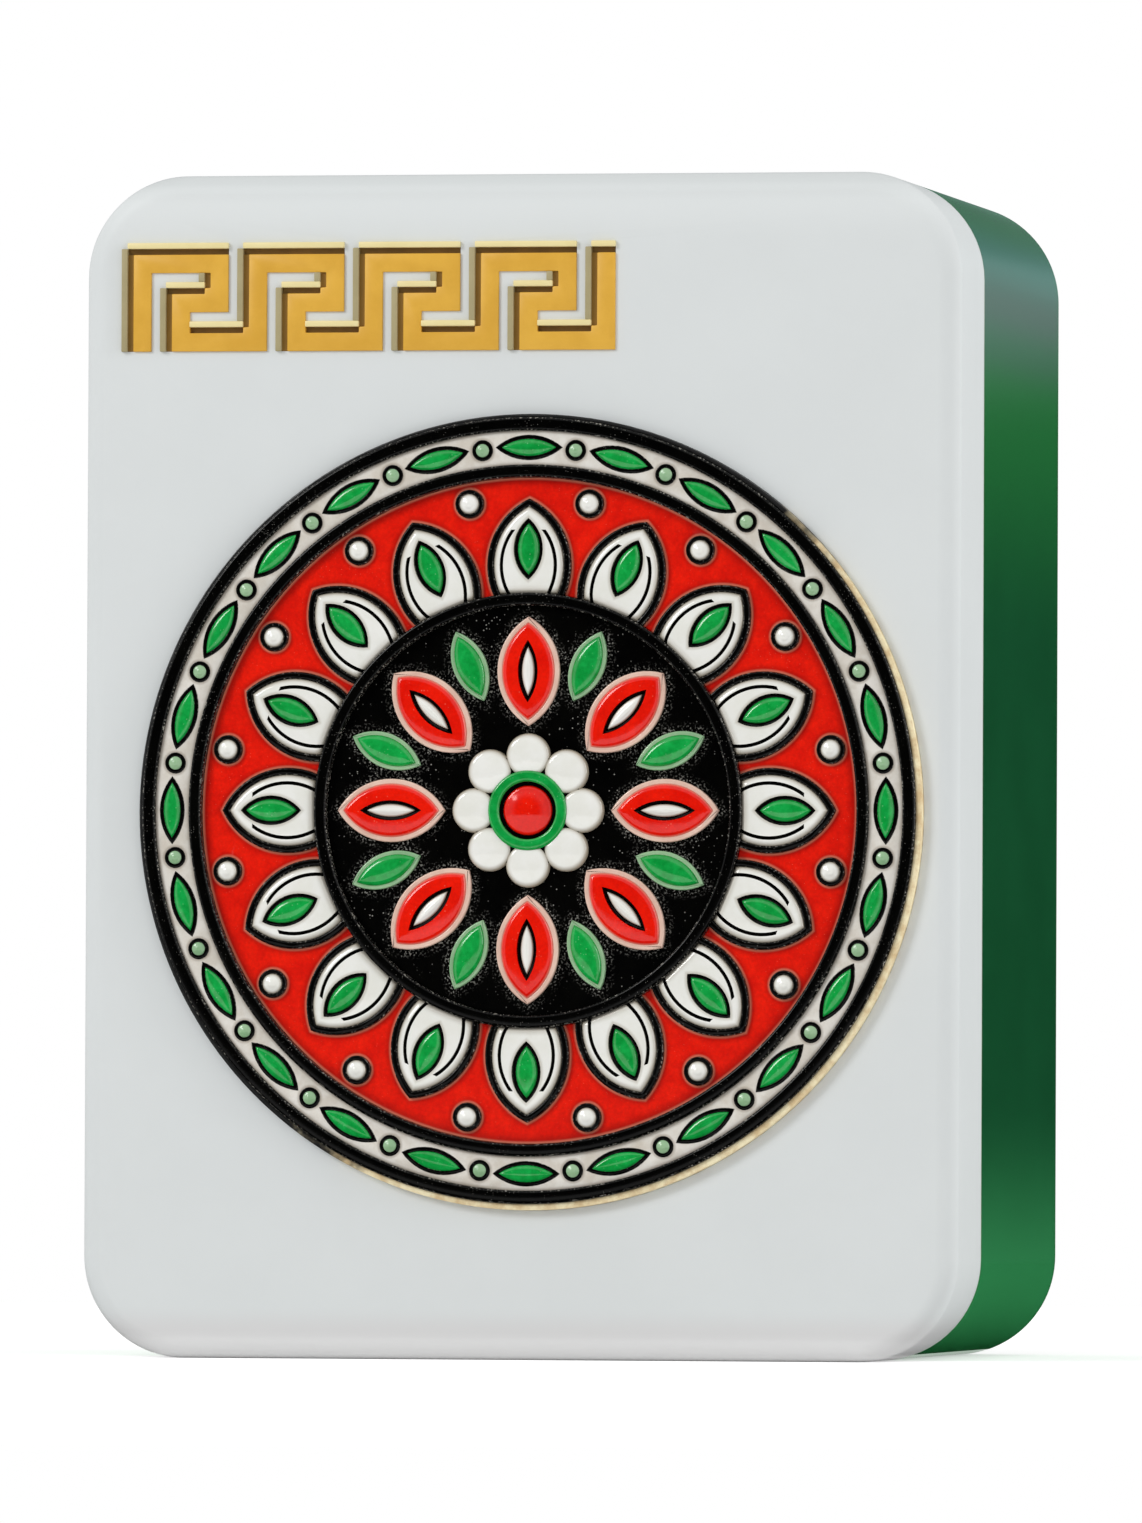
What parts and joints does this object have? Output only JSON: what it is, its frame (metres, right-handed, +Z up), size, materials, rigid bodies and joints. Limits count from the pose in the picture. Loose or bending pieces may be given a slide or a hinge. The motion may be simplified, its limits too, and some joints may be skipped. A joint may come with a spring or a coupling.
{
  "type": "mahjong tile",
  "caption": "Rounded two-colour mahjong tile standing on its bottom edge, with a white face, a green back, a raised enamelled flower medallion and an inlaid gold key fret.",
  "frame": {"origin": "centre of the tile's box on the surface that it stands on", "axes": "+Z up, from the bottom edge to the top edge; +X to the viewer's right, across the face; +Y away from the viewer, from the face to the back"},
  "size_m": [0.03, 0.023, 0.04],
  "materials": {
    "white_plastic": "polished white moulded plastic",
    "green_plastic": "polished deep green moulded plastic",
    "bond_glue": "clear cured glue",
    "cream_resin": "cast cream resin",
    "black_enamel": "glossy black resin enamel with pale dust at its raised edges",
    "ivory_enamel": "glossy domed ivory resin enamel",
    "green_enamel": "glossy domed green resin enamel",
    "pale_green_enamel": "glossy pale green resin enamel",
    "red_enamel": "mottled red resin enamel",
    "cream_enamel": "glossy cream resin enamel",
    "gold_fill": "satin gold paint fill",
    "umber_fill": "dark gold paint in the step",
    "brown_fill": "brown gold paint in the shallow step",
    "pale_gold_fill": "pale gold paint on the raised edge",
    "olive_fill": "olive gold paint on the raised edge"
  },
  "bodies": {
    "root": {"face_slab": "white_plastic", "bond_film": "bond_glue", "back_slab": "green_plastic", "medallion_casting": "cream_resin", "medallion_glue": "bond_glue", "outer_rim_enamel": "black_enamel", "band_enamel": "ivory_enamel", "band_outlines": "black_enamel", "band_beads": "green_enamel", "band_pearls": "pale_green_enamel", "middle_ring_enamel": "black_enamel", "red_field_enamel": "red_enamel", "petal_outlines": "black_enamel", "ivory_petals": "ivory_enamel", "petal_veins": "black_enamel", "heart_outlines": "black_enamel", "green_hearts": "green_enamel", "bud_outlines": "black_enamel", "ivory_buds": "ivory_enamel", "inner_ring_enamel": "black_enamel", "black_field_enamel": "black_enamel", "flower_rims": "cream_enamel", "flower_petals": "red_enamel", "drop_outlines": "black_enamel", "ivory_drops": "ivory_enamel", "leaf_rims": "pale_green_enamel", "green_leaves": "green_enamel", "centre_flower": "ivory_enamel", "centre_lines": "black_enamel", "centre_ring": "green_enamel", "centre_dome": "red_enamel", "fret_gold": "gold_fill", "fret_dark_step": "umber_fill", "fret_brown_step": "brown_fill", "fret_light_edge": "pale_gold_fill", "fret_olive_edge": "olive_fill"}
  },
  "joints": []
}
